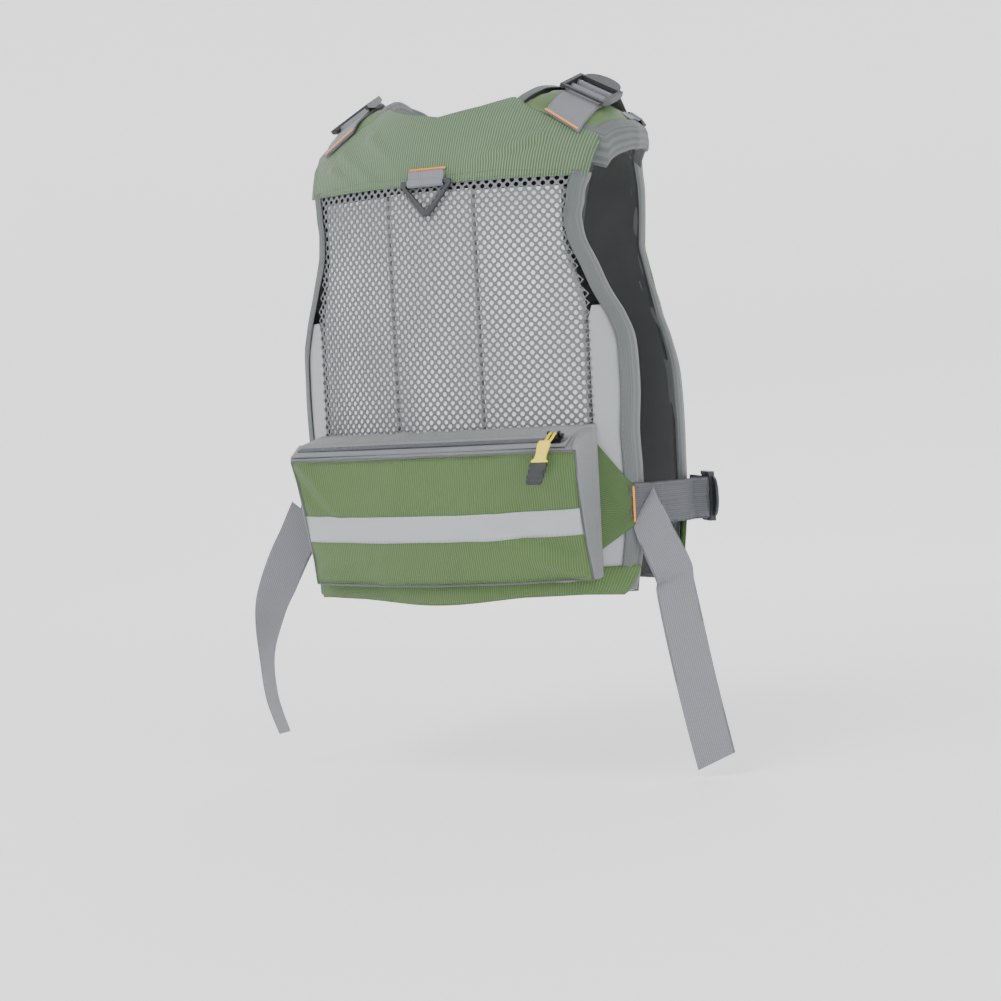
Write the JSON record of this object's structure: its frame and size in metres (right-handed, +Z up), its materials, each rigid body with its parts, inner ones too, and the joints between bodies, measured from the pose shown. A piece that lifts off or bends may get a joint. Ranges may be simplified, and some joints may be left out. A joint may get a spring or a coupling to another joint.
{
  "type": "life jacket",
  "caption": "Waistcoat shaped buoyancy jacket with mesh covered foam back, padded shoulders, back pocket, webbing adjusters and a front zip.",
  "frame": {"origin": "centre of the space for the wearer's body, level with the lower hem of the jacket", "axes": "+Z up the wearer's back, -Y the way the wearer faces, -X the wearer's right"},
  "size_m": [0.4802, 0.3637, 0.6435],
  "materials": {
    "green_fabric": "dull woven nylon with fine raised pin lines",
    "mesh_net": "open knitted net with oval holes",
    "white_foam": "closed cell foam, matt",
    "grey_fabric": "plain woven lining cloth",
    "edge_tape": "twill binding tape",
    "zip_tape": "woven zip tape with moulded teeth",
    "reflective_tape": "silver retroreflective cloth",
    "grey_webbing": "ribbed webbing",
    "slider_metal": "dark enamelled slider",
    "pull_rubber": "moulded pull, yellow at the top",
    "black_plastic": "moulded acetal, light grain"
  },
  "bodies": {
    "vest": {"armhole_binding_left": "edge_tape", "armhole_binding_right": "edge_tape", "back_foam_center": "white_foam", "back_foam_left": "white_foam", "back_foam_right": "white_foam", "back_lining": "grey_fabric", "back_mesh": "mesh_net", "center_zip_left": "zip_tape", "center_zip_right": "zip_tape", "front_buckle_socket": "black_plastic", "front_foam_left": "white_foam", "front_foam_right": "white_foam", "front_lining_left": "grey_fabric", "front_lining_right": "grey_fabric", "front_panel_left": "green_fabric", "front_panel_right": "green_fabric", "front_pocket_left": "green_fabric", "front_pocket_right": "green_fabric", "front_strap_left": "grey_webbing", "front_strap_right": "grey_webbing", "gear_ring_loop": "grey_webbing", "hang_loop": "grey_webbing", "hem_panel": "green_fabric", "neck_foam": "white_foam", "pocket_face": "green_fabric", "pocket_gusset": "grey_fabric", "pocket_zip": "zip_tape", "reflective_strip": "reflective_tape", "shoulder_pad_left": "green_fabric", "shoulder_pad_right": "green_fabric", "shoulder_strap_left": "grey_webbing", "shoulder_strap_right": "grey_webbing", "shoulder_webbing_left": "grey_webbing", "shoulder_webbing_right": "grey_webbing", "side_panel_left": "grey_fabric", "side_panel_right": "grey_fabric", "waist_anchor_left": "grey_webbing", "waist_anchor_right": "grey_webbing", "waist_strap_left": "grey_webbing", "waist_strap_right": "grey_webbing", "wing_left": "green_fabric", "wing_right": "green_fabric", "yoke": "green_fabric"},
    "triangle_ring": {"triangle_ring": "black_plastic"},
    "pocket_slider": {"pocket_slider": "slider_metal"},
    "pocket_pull": {"pocket_pull": "pull_rubber"},
    "shoulder_buckle_left": {"shoulder_buckle_left": "black_plastic"},
    "shoulder_buckle_right": {"shoulder_buckle_right": "black_plastic"},
    "waist_buckle_left": {"waist_buckle_left": "black_plastic"},
    "waist_buckle_right": {"waist_buckle_right": "black_plastic"},
    "front_slider_left": {"front_slider_left": "slider_metal"},
    "front_slider_right": {"front_slider_right": "slider_metal"},
    "front_pull_left": {"front_pull_left": "pull_rubber"},
    "front_pull_right": {"front_pull_right": "pull_rubber"},
    "center_slider": {"center_slider": "slider_metal"},
    "center_pull": {"center_pull": "pull_rubber"},
    "front_buckle_plug": {"front_buckle_plug": "black_plastic"},
    "gear_ring": {"gear_ring": "black_plastic"}
  },
  "joints": [
    {"name": "ring_swing", "type": "hinge", "parent": "vest", "child": "triangle_ring", "pos_m": [0, 0.13717, 0.386], "axis": [1, 0, 0], "range_deg": [0, 130]},
    {"name": "pocket_zip_slide", "type": "slide", "parent": "vest", "child": "pocket_slider", "axis": [1, 0, 0], "range_m": [0, 0.25]},
    {"name": "pocket_pull_swing", "type": "hinge", "parent": "pocket_slider", "child": "pocket_pull", "pos_m": [-0.125, 0.16592, 0.15182], "axis": [1, 0, 0], "range_deg": [0, 110]},
    {"name": "shoulder_tilt_left", "type": "hinge", "parent": "vest", "child": "shoulder_buckle_left", "pos_m": [0.12177, 0.02534, 0.46731], "axis": [0.881, -0.0404, -0.4714], "range_deg": [-9, 0]},
    {"name": "shoulder_tilt_right", "type": "hinge", "parent": "vest", "child": "shoulder_buckle_right", "pos_m": [-0.12177, 0.02534, 0.46731], "axis": [0.881, 0.0404, 0.4714], "range_deg": [-9, 0]},
    {"name": "waist_tilt_left", "type": "hinge", "parent": "vest", "child": "waist_buckle_left", "pos_m": [0.19651, -0.03846, 0.083], "axis": [0, 0, 1], "range_deg": [-9, 0]},
    {"name": "waist_tilt_right", "type": "hinge", "parent": "vest", "child": "waist_buckle_right", "pos_m": [-0.19651, -0.03846, 0.083], "axis": [0, 0, -1], "range_deg": [-9, 0]},
    {"name": "front_zip_slide_left", "type": "slide", "parent": "vest", "child": "front_slider_left", "axis": [0, 0, -1], "range_m": [0, 0.104]},
    {"name": "front_zip_slide_right", "type": "slide", "parent": "vest", "child": "front_slider_right", "axis": [0, 0, -1], "range_m": [0, 0.104]},
    {"name": "front_pull_swing_left", "type": "hinge", "parent": "front_slider_left", "child": "front_pull_left", "pos_m": [0.04531, -0.16659, 0.183], "axis": [-0.9878, -0.156, 0], "range_deg": [0, 150]},
    {"name": "front_pull_swing_right", "type": "hinge", "parent": "front_slider_right", "child": "front_pull_right", "pos_m": [-0.04531, -0.16659, 0.183], "axis": [-0.9878, 0.156, 0], "range_deg": [0, 150]},
    {"name": "center_zip_slide", "type": "slide", "parent": "vest", "child": "center_slider", "axis": [0, 0, -1], "range_m": [0, 0.28]},
    {"name": "center_pull_swing", "type": "hinge", "parent": "center_slider", "child": "center_pull", "pos_m": [0, -0.1464, 0.363], "axis": [-1, 0, 0], "range_deg": [0, 150]},
    {"name": "front_buckle_release", "type": "slide", "parent": "vest", "child": "front_buckle_plug", "axis": [-1, 0, 0], "range_m": [0, 0.035]},
    {"name": "gear_ring_swing", "type": "hinge", "parent": "vest", "child": "gear_ring", "pos_m": [-0.15174, -0.01889, 0.4459], "axis": [0.8117, -0.1214, 0.5713], "range_deg": [-100, 0]}
  ]
}
